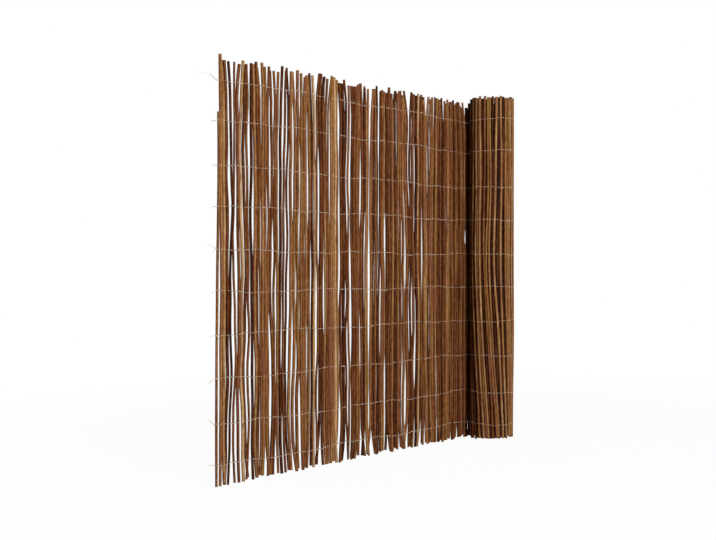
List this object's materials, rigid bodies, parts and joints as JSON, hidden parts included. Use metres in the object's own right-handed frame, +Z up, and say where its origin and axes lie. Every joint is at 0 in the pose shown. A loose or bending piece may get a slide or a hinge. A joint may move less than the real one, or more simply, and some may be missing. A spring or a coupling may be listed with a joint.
{
  "type": "willow screening mat",
  "caption": "Screening mat of upright willow rods bound by rows of thin wire, one part wound into a roll that stands on its end and the rest standing out as a flat panel.",
  "frame": {"origin": "on the floor, on the roll's axis, in the middle of the roll's foot", "axes": "+Z up the rods; -X from the roll towards the panel's free edge; +Y from the roll's axis to the panel's plane, so the rolled-up side of the panel faces -Y"},
  "size_m": [1.064, 0.1416, 1.008],
  "materials": {
    "willow": "dark red-brown unpeeled willow bark, satin",
    "wire": "thin galvanised wire, dull"
  },
  "bodies": {
    "root": {"unrolled_panel": "willow", "standing_roll": "willow", "front_wire_01": "wire", "front_wire_02": "wire", "front_wire_03": "wire", "front_wire_04": "wire", "front_wire_05": "wire", "front_wire_06": "wire", "front_wire_07": "wire", "front_wire_08": "wire", "front_wire_09": "wire", "front_wire_10": "wire", "back_wire_01": "wire", "back_wire_02": "wire", "back_wire_03": "wire", "back_wire_04": "wire", "back_wire_05": "wire", "back_wire_06": "wire", "back_wire_07": "wire", "back_wire_08": "wire", "back_wire_09": "wire", "back_wire_10": "wire"}
  },
  "joints": []
}
